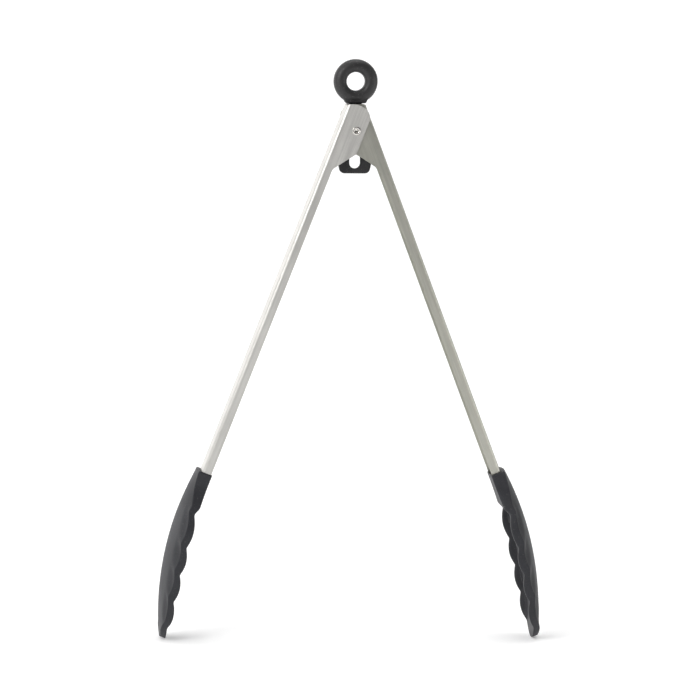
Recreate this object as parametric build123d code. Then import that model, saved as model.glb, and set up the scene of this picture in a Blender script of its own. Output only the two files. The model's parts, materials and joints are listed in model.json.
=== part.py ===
from build123d import *
from math import atan2, degrees
import os

# Spring-loaded kitchen tongs, fully open. Millimetres, +Z up.
# Origin: centre of the hanging hole in the pull ring. X is the way the tongs open, with the left arm
# towards -X, and Y is the pivot's axis. The rivet's flared end is on the -Y side.
# Each arm is drawn hanging straight down from the pivot, with its back towards -X, and then turned.

pivot_drop = 24.25
half_angle = 21.0

# arm: a channel of sheet steel, open towards the other arm
sheet = 0.7
channel_width = 15.5
back_x = -8.9
wall_edge_x = -4.15
corner_radius = 1.6
arm_end = 202.6
ear_gap = 0.5
ear_reach = 7.5
hole_fit = 0.05
web_top = -10.2

# rivet and what sits on it
shank_radius = 1.5
rivet_flare_radius = 2.1
rivet_head_radius = 3.0
bush_radius = 2.4
bush_end_play = 0.05
plate_thickness = 2.0
side_play = 0.1

# spring
wire_radius = 0.6
coil_radius = 4.1
coil_turns = 2.5
coil_pitch = 1.3
leg_length = 30.0

# pull ring and lock plate
ring_hole_radius = 4.6
ring_outer_radius = 11.05
ring_depth = 7.6
plate_half_width = 8.15
plate_top = -7.1
plate_bottom = -45.85
slot_half_width = 2.7
lock_travel = 16.4

# head: distances are measured down the arm from the pivot
sleeve_top = 186.0
sleeve_half_width = 9.25
head_half_width = 19.0
lowest_back = 207.0
back_radius = 146.0
back_depth = -13.0
first_valley = 207.0
lobe_lengths = (16.6, 13.6, 13.9, 13.9)
lobe_height = 1.7
tip_end = 271.5
tip_half_width = 9.0
tip_inner_x = 5.2
band_height = 4.4
skin = 1.1
core_thickness = 1.3

arm_shift = (sheet + ear_gap) / 2
ear_inner_face = channel_width / 2 - sheet - arm_shift
bush_half_length = ear_inner_face - bush_end_play
plate_face = plate_thickness / 2 + side_play
shank_bore = shank_radius + hole_fit
bush_bore = bush_radius + hole_fit
pivot = Location((0, 0, -pivot_drop))


def along_y(radius, start, end, hole=0.0):
    """A round bar or tube on the pivot's axis, from one depth to another."""
    bar = Cylinder(radius, end - start, rotation=(90, 0, 0))
    if hole:
        bar -= Cylinder(hole, end - start + 1, rotation=(90, 0, 0))
    return Pos(0, (start + end) / 2, 0) * bar


def side_plate(outline, depth):
    """A plate cut to an outline in X and Z, centred on Y."""
    return extrude(Plane.XZ * make_face(outline), depth / 2, both=True)


def rim_line(down):
    """Where the head's inner rim lies between its lobes."""
    run = down - first_valley
    return -5.3 + 0.11 * run + 0.0006 * run**2


def back_line(down):
    """The head's outermost line, an arc that bends inwards towards the tip."""
    run = down - lowest_back
    return back_depth + back_radius - (back_radius**2 - run**2) ** 0.5


# arm

def ear_outline(start_x):
    """Side view of the arm, ears and all."""
    wall_start = -21.1
    line = Polyline(
        (start_x, -arm_end),
        (start_x, -web_top),
    )
    line += ThreePointArc((start_x, -web_top), (-5.4, 12.0), (-2.15, 12.3))
    line += ThreePointArc((-2.15, 12.3), (2.0, 10.9), (4.3, 7.8))
    line += Polyline((4.3, 7.8), (4.3, -10.7), (-3.1, wall_start + 0.4))
    line += Spline((-3.1, wall_start + 0.4), (wall_edge_x, -24.0), tangents=[(-0.78, -0.66), (0, -1)])
    line += Polyline((wall_edge_x, -24.0), (wall_edge_x, -arm_end), (start_x, -arm_end))
    return line


def arm_channel():
    """The arm before its nested ear is trimmed, with its channel centred on Y."""
    body = side_plate(ear_outline(back_x), channel_width)
    back_edges = body.edges().filter_by(Axis.Z).group_by(Axis.X)[0]
    body = fillet(back_edges, corner_radius)
    hollow = Box(40, channel_width - 2 * sheet, 500, align=(Align.MIN, Align.CENTER, Align.CENTER))
    hollow = Pos(back_x + sheet, 0, 0) * hollow
    hollow = fillet(hollow.edges().filter_by(Axis.Z).group_by(Axis.X)[0], corner_radius - sheet)
    body -= hollow
    return body - along_y(shank_radius + hole_fit, -channel_width, channel_width)


def arm():
    """One arm: its far ear nests inside the other arm, and stops on that arm's web when open."""
    body = Pos(0, -arm_shift, 0) * arm_channel()
    stop = Rot(0, -2 * half_angle, 0) * Pos(ear_reach, 0, 0) * Box(
        40, channel_width, 60, align=(Align.MIN, Align.MIN, Align.CENTER)
    )
    return body - stop - core_rivet_holes()


# head

def section(down, inset, floor):
    """Across the head: flat on the rim side, upright at the rims and rounded at the back."""
    widening = min(1.0, max(0.0, (down - 192.0) / 26.0))
    ease = widening * widening * (3 - 2 * widening)
    half = sleeve_half_width + (head_half_width - sleeve_half_width) * ease - inset
    if down > 230.0:
        half -= (head_half_width - 14.5) * ((down - 230.0) / (tip_end - 230.0)) ** 2
    back = back_line(down) + floor
    crease = max(back + 0.6, rim_line(down) + 0.9 - band_height + 0.5 * floor)
    if down < first_valley:
        fade = (first_valley - down) / (first_valley - sleeve_top)
        crease -= (crease - back - 0.8) * fade
    top = 9.0
    outline = Polyline((crease, -half), (top, -half), (top, half), (crease, half))
    outline += ThreePointArc((crease, half), (back, 0), (crease, -half))
    return Pos(0, 0, -down) * make_face(outline)


def head_form(inset, floor, start, end):
    """The head's solid form between two distances down the arm, before its rim is cut."""
    spans = 16
    stations = [start + (end - start) * step / spans for step in range(spans + 1)]
    return loft([section(down, inset, floor) for down in stations])


def tip_limit(inset, start):
    """Plan view of the head with its rounded tip, as a tall prism."""
    end = tip_end - inset
    half = head_half_width + 1 - inset
    outline = Polyline((half, -end + 24), (half, -start), (-half, -start), (-half, -end + 24))
    outline += Bezier((-half, -end + 24), (-half + 2, -end + 6), (-tip_half_width, -end), (0, -end))
    outline += Bezier((0, -end), (tip_half_width, -end), (half - 2, -end + 6), (half, -end + 24))
    return extrude(Plane.YZ * make_face(outline), 30, both=True)


def rim_cut(drop):
    """Everything on the back side of the scalloped rim, lowered by a set distance."""
    sleeve_rim = wall_edge_x + 0.6
    outline = Polyline((-40, -sleeve_top + 4), (sleeve_rim, -sleeve_top + 4), (sleeve_rim, -first_valley + 4))
    start = Vector(rim_line(first_valley), -first_valley)
    outline += Line((sleeve_rim, -first_valley + 4), start)
    valley = first_valley
    for length in lobe_lengths:
        valley += length
        end = Vector(rim_line(valley), -valley)
        middle = (start + end) / 2 + Vector(lobe_height, 0)
        outline += ThreePointArc(start, middle, end)
        start = end
    outline += Line(start, (tip_inner_x, -tip_end))
    outline += Polyline((tip_inner_x, -tip_end), (tip_inner_x, -300), (-40, -300), (-40, -sleeve_top + 4))
    return Pos(-drop, 0, 0) * side_plate(outline, 60)


def core_tongue():
    """The core's neck, which fills the channel between its walls."""
    start = 188.5
    end = 205.0
    tall = wall_edge_x - back_x - sheet - side_play - 0.4
    wide = channel_width - 2 * sheet - 2 * side_play
    block = Box(tall, wide, end - start, align=(Align.MIN, Align.CENTER, Align.MAX))
    edges = block.edges().filter_by(Axis.Z).group_by(Axis.X)[0]
    block = Pos(back_x + sheet + 0.02, -arm_shift, -start) * fillet(edges, corner_radius - sheet)
    root = Box(tall + 2.8, wide, 5.2, align=(Align.MAX, Align.CENTER, Align.MAX))
    block += Pos(wall_edge_x - side_play - 0.4, -arm_shift, -arm_end - 0.4) * root
    return block & rim_cut(1.2)


def core_rivet_places():
    return [Location((0, -arm_shift, -down)) for down in (192.0, 199.0)]


def core_rivet_holes():
    bore = Cylinder(1.55, 20, rotation=(0, 90, 0))
    return [place * Pos(-8, 0, 0) * bore for place in core_rivet_places()]


def core_rivets():
    """Two rivets through the web and the tongue, as one group."""
    inner_face = wall_edge_x - 0.4
    shank = Cylinder(1.5, 4.6, rotation=(0, 90, 0), align=(Align.CENTER, Align.CENTER, Align.MIN))
    head = Cylinder(2.4, 0.7, rotation=(0, 90, 0), align=(Align.CENTER, Align.CENTER, Align.MIN))
    rivet = Pos(back_x - 0.05, 0, 0) * shank + Pos(back_x - 0.75, 0, 0) * head
    rivet += Pos(inner_face - 0.7, 0, 0) * head
    return Compound([place * rivet for place in core_rivet_places()])


def head_core():
    """The stiff insert: a dished plate that follows the back, and the tongue in the channel."""
    dish = head_form(skin + 0.5, skin, 206, 264) - head_form(
        skin + core_thickness + 0.5, skin + core_thickness, 204.5, 265
    )
    dish &= rim_cut(3.0)
    dish &= tip_limit(skin + 3, 200)
    recess = [
        place * Pos(wall_edge_x - 1.1, 0, 0) * Box(4, 5.2, 5.2, align=(Align.MIN, Align.CENTER, Align.CENTER))
        for place in core_rivet_places()
    ]
    return dish + core_tongue() - core_rivet_holes() - recess


def head_cover():
    """The silicone moulding: socket for the arm, scalloped scoop and a place for the core."""
    body = head_form(0, 0, sleeve_top, tip_end + 1)
    body &= rim_cut(0)
    body &= tip_limit(0, 100)
    floor = 2 * skin + core_thickness
    scoop = head_form(2.4, floor, 212, tip_end + 1) & tip_limit(2.4, 216.5)
    socket = Pos(back_x - side_play, -arm_shift, 0) * Box(
        wall_edge_x - back_x + 2 * side_play,
        channel_width + 2 * side_play,
        arm_end + 0.2,
        align=(Align.MIN, Align.CENTER, Align.MAX),
    )
    rivet_room = [
        place * Pos(back_x - 0.45, 0, 0) * Cylinder(2.5, 1.0, rotation=(0, 90, 0))
        for place in core_rivet_places()
    ]
    return body - scoop - socket - rivet_room - head_core()


# pivot group, drawn round the pivot's axis

def pivot_rivet():
    """Semi-tubular rivet: flared near end with a recess, factory head on the far side."""
    ear_outside = channel_width / 2 + arm_shift
    washer = 0.5
    shank = along_y(shank_radius, -ear_outside - 0.3, ear_outside + washer + 0.1)
    flare = along_y(rivet_flare_radius, -ear_outside - 0.65, -ear_outside - 0.05)
    flare = fillet(flare.edges().group_by(Axis.Y)[0], 0.3)
    recess = along_y(0.9, -ear_outside - 1, -ear_outside + 1.6)
    far_face = ear_outside + washer + 0.1
    head = along_y(rivet_head_radius, far_face, far_face + 1.0)
    head = fillet(head.edges().group_by(Axis.Y)[-1], 0.8)
    return shank + flare + head - recess


def rivet_washer():
    face = channel_width / 2 + arm_shift
    return along_y(3.8, face + 0.05, face + 0.55, shank_bore)


def ear_washer(side):
    """Nylon washer in the gap between two overlapping ears."""
    face = channel_width / 2 - arm_shift
    start = side * (face + ear_gap / 2)
    return along_y(3.6, start - 0.2, start + 0.2, shank_bore)


def torsion_spring():
    """A coil with two straight legs, each resting inside one arm's web."""
    first = 2.2
    last = first + coil_turns * coil_pitch
    coil = Helix(coil_pitch, coil_turns * coil_pitch, coil_radius)
    coil = Rot(0, 0, 180) * coil
    end = Plane(coil @ 0, z_dir=coil % 0)
    body = sweep(end * Circle(wire_radius), path=coil, is_frenet=True)
    body = Pos(0, first, 0) * Rot(-90, 0, 0) * body
    for side, depth in ((-1, first), (1, last)):
        drift = degrees(atan2(-back_x - sheet - wire_radius - 0.15 - coil_radius, leg_length))
        leg = Cylinder(wire_radius, leg_length, align=(Align.CENTER, Align.CENTER, Align.MAX))
        leg += Sphere(wire_radius)
        body += Rot(0, -side * (half_angle + drift), 0) * Pos(side * coil_radius, depth, 0) * leg
    return body


# pull ring and lock plate, drawn round the ring's centre

def plate_outline():
    """The plate: a neck between the arms' backs, shoulders below the pivot, a rounded foot."""
    neck = 2.9
    waist = 3.7
    hip = 4.8
    shoulder = plate_half_width - 0.35
    foot = plate_half_width - 0.9
    half = [
        (neck, plate_top),
        (waist, -pivot_drop + 5.0),
        (waist, -pivot_drop),
        (hip, -pivot_drop - 7.0),
        (shoulder, -pivot_drop - 10.0),
        (plate_half_width, -pivot_drop - 17.2),
        (foot, plate_bottom),
    ]
    return Polyline(*half, *[(-x, z) for x, z in reversed(half)], close=True)


def lock_plate():
    body = side_plate(plate_outline(), plate_thickness)
    foot = body.edges().filter_by(Axis.Y).group_by(Axis.Z)[0]
    body = fillet(foot, 2.7)
    slot_top = -pivot_drop + slot_half_width
    slot_length = lock_travel + 2 * slot_half_width
    slot = SlotOverall(slot_length, 2 * slot_half_width, rotation=90)
    slot = Pos(0, slot_top - slot_length / 2) * slot
    return body - extrude(Plane.XZ * slot, 5, both=True)


def ring_grip():
    """A doughnut with a straight bore and a short foot, moulded on the plate's neck."""
    middle = (ring_hole_radius + ring_outer_radius) / 2
    profile = Rectangle(ring_outer_radius - ring_hole_radius, ring_depth)
    profile = fillet(profile.vertices().group_by(Axis.X)[-1], 3.6)
    profile = fillet(profile.vertices().group_by(Axis.X)[0], 2.5)
    body = revolve(Pos(middle, 0, 0) * profile, Axis.Y)
    foot = side_plate(Polyline((-6.2, -8.6), (-5.0, -10.8), (5.0, -10.8), (6.2, -8.6), close=True), 6.4)
    return body + foot - lock_plate()


def left_side(piece):
    return pivot * Rot(0, half_angle, 0) * piece


def right_side(piece):
    return Rot(0, 0, 180) * left_side(piece)


pieces = {
    "pivot_rivet": pivot * pivot_rivet(),
    "rivet_washer": pivot * rivet_washer(),
    "near_ear_washer": pivot * ear_washer(-1),
    "far_ear_washer": pivot * ear_washer(1),
    "pivot_bush": pivot * along_y(bush_radius, -bush_half_length, bush_half_length, shank_bore),
    "plate_spacer": pivot * along_y(4.2, -bush_half_length, -plate_face, bush_bore),
    "spring_washer": pivot * along_y(4.8, plate_face, plate_face + 0.4, bush_bore),
    "spring_sleeve": pivot * along_y(3.3, plate_face + 0.45, bush_half_length, bush_bore),
    "torsion_spring": pivot * torsion_spring(),
    "lock_plate": lock_plate(),
    "ring_grip": ring_grip(),
}
for name, make in (
    ("arm", arm),
    ("head_core", head_core),
    ("head_cover", head_cover),
    ("core_rivets", core_rivets),
):
    piece = make()
    pieces["left_" + name] = left_side(piece)
    pieces["right_" + name] = right_side(piece)

os.makedirs("parts", exist_ok=True)
for name, piece in pieces.items():
    export_step(piece, f"parts/{name}.step")
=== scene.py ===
import bpy
import bmesh
import json
import math
from mathutils import Matrix, Vector


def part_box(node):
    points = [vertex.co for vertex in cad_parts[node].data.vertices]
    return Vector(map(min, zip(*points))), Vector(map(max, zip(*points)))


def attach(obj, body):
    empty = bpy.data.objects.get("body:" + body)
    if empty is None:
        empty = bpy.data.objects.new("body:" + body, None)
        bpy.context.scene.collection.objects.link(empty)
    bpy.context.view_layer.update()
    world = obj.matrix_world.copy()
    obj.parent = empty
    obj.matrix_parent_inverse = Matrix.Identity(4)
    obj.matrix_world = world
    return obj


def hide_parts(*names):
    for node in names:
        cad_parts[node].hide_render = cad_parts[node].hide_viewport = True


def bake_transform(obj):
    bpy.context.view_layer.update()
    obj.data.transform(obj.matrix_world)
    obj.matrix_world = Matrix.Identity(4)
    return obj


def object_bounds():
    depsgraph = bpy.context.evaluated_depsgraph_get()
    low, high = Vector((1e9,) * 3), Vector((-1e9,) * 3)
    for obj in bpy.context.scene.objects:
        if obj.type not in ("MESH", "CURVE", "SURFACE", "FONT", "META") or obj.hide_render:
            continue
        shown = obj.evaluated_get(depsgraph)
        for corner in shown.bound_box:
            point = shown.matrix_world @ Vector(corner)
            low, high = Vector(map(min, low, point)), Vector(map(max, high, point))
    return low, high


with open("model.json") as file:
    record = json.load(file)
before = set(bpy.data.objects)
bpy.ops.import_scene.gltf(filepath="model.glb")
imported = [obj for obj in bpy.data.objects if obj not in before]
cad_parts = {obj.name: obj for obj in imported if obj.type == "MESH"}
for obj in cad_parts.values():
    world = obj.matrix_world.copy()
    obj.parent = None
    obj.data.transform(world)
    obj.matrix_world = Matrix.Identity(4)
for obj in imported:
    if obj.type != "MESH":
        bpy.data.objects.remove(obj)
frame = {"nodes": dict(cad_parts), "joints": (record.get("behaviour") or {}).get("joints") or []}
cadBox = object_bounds()
print("frame loaded:", len(frame["nodes"]), "nodes")

mm = 0.001
collection = bpy.context.scene.collection
hingePoint = Vector(next(j for j in frame["joints"] if j["name"] == "left_arm_hinge")["pos_m"])

# how far each arm leans from upright when the tongs are open
openAngle = math.radians(21.0)
leanLeft = Matrix.Translation(hingePoint) @ Matrix.Rotation(openAngle, 4, "Y")
armFrames = {"left": leanLeft, "right": Matrix.Rotation(math.pi, 4, "Z") @ leanLeft}


# meshes

def addObject(name, mesh):
    thing = bpy.data.objects.new(name, mesh)
    collection.objects.link(thing)
    return thing


def meshFrom(name, points, faces):
    mesh = bpy.data.meshes.new(name)
    mesh.from_pydata(points, [], faces)
    tidyMesh(mesh)
    return mesh


def tidyMesh(mesh, gap=1e-6):
    # merge what touches and turn every face outwards
    form = bmesh.new()
    form.from_mesh(mesh)
    bmesh.ops.remove_doubles(form, verts=form.verts, dist=gap)
    bmesh.ops.dissolve_degenerate(form, edges=form.edges, dist=gap * 0.1)
    bmesh.ops.recalc_face_normals(form, faces=form.faces)
    form.to_mesh(mesh)
    form.free()


def bakeModifiers(thing):
    bpy.context.view_layer.update()
    graph = bpy.context.evaluated_depsgraph_get()
    mesh = bpy.data.meshes.new_from_object(thing.evaluated_get(graph))
    thing.modifiers.clear()
    thing.data = mesh
    mesh.name = thing.name


def smoothBy(thing, degrees):
    thing.data.shade_smooth()
    thing.data.set_sharp_from_angle(angle=math.radians(degrees))


def bevelEdges(thing, width, segments=2, angle=35):
    bevel = thing.modifiers.new("bevel", "BEVEL")
    bevel.width = width * mm
    bevel.segments = segments
    bevel.limit_method = "ANGLE"
    bevel.angle_limit = math.radians(angle)
    even = thing.modifiers.new("even", "WEIGHTED_NORMAL")
    even.keep_sharp = True


def copyOfNode(name, node, flatness=4):
    # a merged copy of a CAD node, with its flat faces joined up
    mesh = frame["nodes"][node].data.copy()
    mesh.materials.clear()
    form = bmesh.new()
    form.from_mesh(mesh)
    bmesh.ops.remove_doubles(form, verts=form.verts, dist=2e-6)
    limit = math.radians(flatness)
    bmesh.ops.dissolve_limit(form, angle_limit=limit, verts=form.verts, edges=form.edges)
    bmesh.ops.recalc_face_normals(form, faces=form.faces)
    form.to_mesh(mesh)
    form.free()
    return addObject(name, mesh)


def turned(name, profile, steps=64):
    # a closed profile of (radius, depth) pairs in mm, spun round the pivot's axis
    points = []
    faces = []
    count = len(profile)
    for step in range(steps):
        angle = 2 * math.pi * step / steps
        here = step * count
        there = (step + 1) % steps * count
        for radius, depth in profile:
            local = Vector((radius * math.cos(angle), depth, radius * math.sin(angle)))
            points.append(hingePoint + local * mm)
        for corner in range(count):
            after = (corner + 1) % count
            faces.append((here + corner, here + after, there + after, there + corner))
    thing = addObject(name, meshFrom(name, points, faces))
    smoothBy(thing, 40)
    return thing


def roundedRing(inner, outer, start, end, edge):
    # profile of a flat ring with rounded edges
    profile = []
    for radius, depth, first in (
        (outer - edge, end - edge, 0), (outer - edge, start + edge, -90),
        (inner + edge, start + edge, -180), (inner + edge, end - edge, -270),
    ):
        for part in range(4):
            angle = math.radians(first + 90 - part * 30)
            profile.append((radius + edge * math.cos(angle), depth + edge * math.sin(angle)))
    return profile


def finish(thing, material, body=None, nodes=()):
    # what every piece ends with
    thing.data.materials.clear()
    thing.data.materials.append(material)
    if nodes:
        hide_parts(*nodes)
    if body:
        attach(thing, body)
    return thing


# node helpers

def put(tree, kind, inputs=None, **settings):
    node = tree.nodes.new(kind)
    for key, value in settings.items():
        setattr(node, key, value)
    for socket, value in (inputs or {}).items():
        if isinstance(value, bpy.types.NodeSocket):
            tree.links.new(value, node.inputs[socket])
        else:
            node.inputs[socket].default_value = value
    return node


def maths(tree, operation, *values):
    return put(tree, "ShaderNodeMath", dict(enumerate(values)), operation=operation).outputs[0]


def vectors(tree, operation, *values):
    node = put(tree, "ShaderNodeVectorMath", dict(enumerate(values)), operation=operation)
    return node.outputs["Value" if operation in ("DOT_PRODUCT", "LENGTH") else "Vector"]


def groupTree(name, kind, inputs, outputs):
    # a node group with named inputs and outputs: inputs are (name, socket kind, value)
    tree = bpy.data.node_groups.new(name, kind)
    for socketName, socketKind, value in inputs:
        socket = tree.interface.new_socket(name=socketName, in_out="INPUT", socket_type=socketKind)
        if value is not None:
            socket.default_value = value
    for socketName, socketKind in outputs:
        tree.interface.new_socket(name=socketName, in_out="OUTPUT", socket_type=socketKind)
    entry = tree.nodes.new("NodeGroupInput")
    leave = tree.nodes.new("NodeGroupOutput")
    return tree, entry, leave


floatSocket = "NodeSocketFloat"
vectorSocket = "NodeSocketVector"


# effects that several materials share

def brushedLines():
    # long fine streaks along Z of the vector that comes in
    tree, entry, leave = groupTree(
        "brushedLines", "ShaderNodeTree",
        [("Vector", vectorSocket, None), ("Across", floatSocket, 4000.0), ("Along", floatSocket, 60.0)],
        [("Streak", floatSocket), ("Height", floatSocket)],
    )
    across = entry.outputs["Across"]
    stretch = put(tree, "ShaderNodeCombineXYZ", {"X": across, "Y": across, "Z": entry.outputs["Along"]})
    scaled = vectors(tree, "MULTIPLY", entry.outputs["Vector"], stretch.outputs[0])
    fine = put(tree, "ShaderNodeTexNoise", {"Vector": scaled, "Scale": 1.0, "Detail": 3.0, "Roughness": 0.65})
    broadVector = vectors(tree, "MULTIPLY", scaled, (0.16, 0.16, 0.3))
    broad = put(tree, "ShaderNodeTexNoise", {"Vector": broadVector, "Scale": 1.0, "Detail": 2.0})
    broadPart = maths(tree, "MULTIPLY", broad.outputs["Fac"], 0.4)
    both = maths(tree, "MULTIPLY_ADD", fine.outputs["Fac"], 0.6, broadPart)
    spread = put(tree, "ShaderNodeMapRange", {"Value": both, "From Min": 0.32, "From Max": 0.68})
    tree.links.new(spread.outputs["Result"], leave.inputs["Streak"])
    tree.links.new(fine.outputs["Fac"], leave.inputs["Height"])
    return tree


def edgeWear():
    # a broken mask along outer edges
    tree, entry, leave = groupTree(
        "edgeWear", "ShaderNodeTree",
        [("Vector", vectorSocket, None), ("Start", floatSocket, 0.52), ("End", floatSocket, 0.6),
         ("Break Scale", floatSocket, 900.0)],
        [("Mask", floatSocket)],
    )
    point = put(tree, "ShaderNodeNewGeometry").outputs["Pointiness"]
    edge = put(tree, "ShaderNodeMapRange", {
        "Value": point, "From Min": entry.outputs["Start"], "From Max": entry.outputs["End"]})
    broken = put(tree, "ShaderNodeTexNoise", {
        "Vector": entry.outputs["Vector"], "Scale": entry.outputs["Break Scale"], "Detail": 2.0})
    patch = put(tree, "ShaderNodeMapRange", {
        "Value": broken.outputs["Fac"], "From Min": 0.35, "From Max": 0.62})
    mask = maths(tree, "MULTIPLY", edge.outputs["Result"], patch.outputs["Result"])
    tree.links.new(mask, leave.inputs["Mask"])
    return tree


def mottle():
    # slow change of shade over a surface, as a factor near 1
    tree, entry, leave = groupTree(
        "mottle", "ShaderNodeTree",
        [("Vector", vectorSocket, None), ("Scale", floatSocket, 80.0), ("Low", floatSocket, 0.9),
         ("High", floatSocket, 1.1)],
        [("Factor", floatSocket)],
    )
    cloud = put(tree, "ShaderNodeTexNoise", {
        "Vector": entry.outputs["Vector"], "Scale": entry.outputs["Scale"], "Detail": 4.0, "Roughness": 0.6})
    factor = put(tree, "ShaderNodeMapRange", {
        "Value": cloud.outputs["Fac"], "From Min": 0.3, "From Max": 0.7,
        "To Min": entry.outputs["Low"], "To Max": entry.outputs["High"]})
    tree.links.new(factor.outputs["Result"], leave.inputs["Factor"])
    return tree


def mouldGrain():
    # the fine sparked texture of a moulding tool
    tree, entry, leave = groupTree(
        "mouldGrain", "ShaderNodeTree",
        [("Vector", vectorSocket, None), ("Scale", floatSocket, 3500.0)],
        [("Height", floatSocket), ("Shade", floatSocket)],
    )
    pits = put(tree, "ShaderNodeTexVoronoi", {
        "Vector": entry.outputs["Vector"], "Scale": entry.outputs["Scale"]})
    cloud = put(tree, "ShaderNodeTexNoise", {
        "Vector": entry.outputs["Vector"], "Scale": maths(tree, "MULTIPLY", entry.outputs["Scale"], 0.6),
        "Detail": 3.0})
    height = maths(tree, "MULTIPLY_ADD", pits.outputs["Distance"], 0.5, cloud.outputs["Fac"])
    shade = put(tree, "ShaderNodeMapRange", {
        "Value": cloud.outputs["Fac"], "From Min": 0.3, "From Max": 0.7, "To Min": 0.88, "To Max": 1.12})
    tree.links.new(height, leave.inputs["Height"])
    tree.links.new(shade.outputs["Result"], leave.inputs["Shade"])
    return tree


def dustSpecks():
    # lint and dust, thickest where a surface looks up
    tree, entry, leave = groupTree(
        "dustSpecks", "ShaderNodeTree",
        [("Vector", vectorSocket, None), ("Scale", floatSocket, 1400.0), ("Cover", floatSocket, 0.3)],
        [("Mask", floatSocket)],
    )
    specks = put(tree, "ShaderNodeTexNoise", {
        "Vector": entry.outputs["Vector"], "Scale": entry.outputs["Scale"], "Detail": 1.0})
    dots = put(tree, "ShaderNodeMapRange", {
        "Value": specks.outputs["Fac"], "From Min": 0.66, "From Max": 0.74})
    normal = put(tree, "ShaderNodeNewGeometry").outputs["Normal"]
    facing = put(tree, "ShaderNodeSeparateXYZ", {"Vector": normal})
    up = put(tree, "ShaderNodeMapRange", {
        "Value": facing.outputs["Z"], "From Min": -0.4, "From Max": 1.0, "To Min": 0.35, "To Max": 1.0})
    mask = maths(tree, "MULTIPLY", maths(tree, "MULTIPLY", dots.outputs["Result"], up.outputs["Result"]),
                 entry.outputs["Cover"])
    tree.links.new(mask, leave.inputs["Mask"])
    return tree


effects = {
    "lines": brushedLines(), "wear": edgeWear(), "mottle": mottle(),
    "grain": mouldGrain(), "dust": dustSpecks(),
}


def effect(tree, kind, vector, **values):
    # outputs of one of the effects, with an underline in an input's name standing for a space
    inputs = {"Vector": vector}
    inputs.update({key.replace("_", " "): value for key, value in values.items()})
    return put(tree, "ShaderNodeGroup", inputs, node_tree=effects[kind]).outputs


def newMaterial(name, constants):
    material = bpy.data.materials.new(name)
    material.use_nodes = True
    tree = material.node_tree
    surface = next(node for node in tree.nodes if node.type == "BSDF_PRINCIPLED")
    for socket, value in constants.items():
        surface.inputs[socket].default_value = value
    place = put(tree, "ShaderNodeTexCoord").outputs["Object"]
    return material, tree, surface, place


def mixColours(tree, factor, first, second):
    # sockets 0, 6 and 7 are the factor and the two colours, and output 2 is the mixed colour
    return put(tree, "ShaderNodeMix", {0: factor, 6: first, 7: second}, data_type="RGBA").outputs[2]


def scaleColour(tree, colour, factor):
    scaled = put(tree, "ShaderNodeVectorMath", {0: colour, "Scale": factor}, operation="SCALE")
    return scaled.outputs["Vector"]


def bump(tree, surface, height, strength, distance):
    relief = put(tree, "ShaderNodeBump", {"Height": height, "Strength": strength, "Distance": distance * mm})
    tree.links.new(relief.outputs["Normal"], surface.inputs["Normal"])


# how strongly wear and dust show
wearDetail = {
    "moulded": 0.5, "rubbed": 0.08, "dustRough": 0.3, "dustColour": (0.32, 0.31, 0.29, 1),
    "polished": 0.6, "bare": (0.9, 0.89, 0.86, 1), "relief": 0.02,
}


def brushedSteel(name, turn, tone):
    # sheet steel brushed along the arm; turn is the arm's lean
    material, tree, surface, place = newMaterial(name, {
        "Metallic": 1.0, "Anisotropic": tone["anisotropic"], "Specular IOR Level": 0.5})
    along = put(tree, "ShaderNodeMapping", {"Vector": place, "Rotation": (0, -turn, 0)}).outputs[0]
    lines = effect(tree, "lines", along, Across=tone["across"], Along=tone["along"])
    cloud = effect(tree, "mottle", along, Scale=55.0, Low=0.93, High=1.05)["Factor"]
    dust = effect(tree, "dust", place, Cover=0.12)["Mask"]
    base = mixColours(tree, lines["Streak"], tone["dark"], tone["light"])
    base = scaleColour(tree, base, cloud)
    base = mixColours(tree, dust, base, tone["dustColour"])
    tree.links.new(base, surface.inputs["Base Color"])
    rough = maths(tree, "MULTIPLY_ADD", lines["Streak"], tone["roughSpread"], tone["rough"])
    tree.links.new(rough, surface.inputs["Roughness"])
    bump(tree, surface, lines["Height"], tone["bump"], wearDetail["relief"])
    tangent = put(tree, "ShaderNodeTangent", direction_type="UV_MAP", uv_map="brush")
    tree.links.new(tangent.outputs[0], surface.inputs["Tangent"])
    return material


def moulded(name, tone):
    # rubber or plastic from a textured tool
    material, tree, surface, place = newMaterial(name, {
        "Metallic": 0.0, "Specular IOR Level": tone["specular"], "Sheen Weight": tone.get("sheen", 0.0),
        "Sheen Roughness": 0.4})
    grain = effect(tree, "grain", place, Scale=tone["grain"])
    cloud = effect(tree, "mottle", place, Scale=tone["cloud"], Low=tone["low"], High=tone["high"])["Factor"]
    wear = effect(
        tree, "wear", place, Start=tone["wearStart"], End=tone["wearEnd"], Break_Scale=700.0)["Mask"]
    dust = effect(tree, "dust", place, Cover=tone["dust"])["Mask"]
    colour = scaleColour(tree, tone["colour"], maths(tree, "MULTIPLY", grain["Shade"], cloud))
    colour = mixColours(tree, maths(tree, "MULTIPLY", wear, wearDetail["moulded"]), colour, tone["worn"])
    colour = mixColours(tree, dust, colour, wearDetail["dustColour"])
    tree.links.new(colour, surface.inputs["Base Color"])
    rough = maths(tree, "MULTIPLY_ADD", cloud, tone["roughSpread"], tone["rough"])
    rough = maths(tree, "ADD", rough, maths(tree, "MULTIPLY", dust, wearDetail["dustRough"]))
    rough = maths(tree, "SUBTRACT", rough, maths(tree, "MULTIPLY", wear, wearDetail["rubbed"]))
    tree.links.new(rough, surface.inputs["Roughness"])
    bump(tree, surface, grain["Height"], tone["bump"], tone["relief"])
    return material


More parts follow.
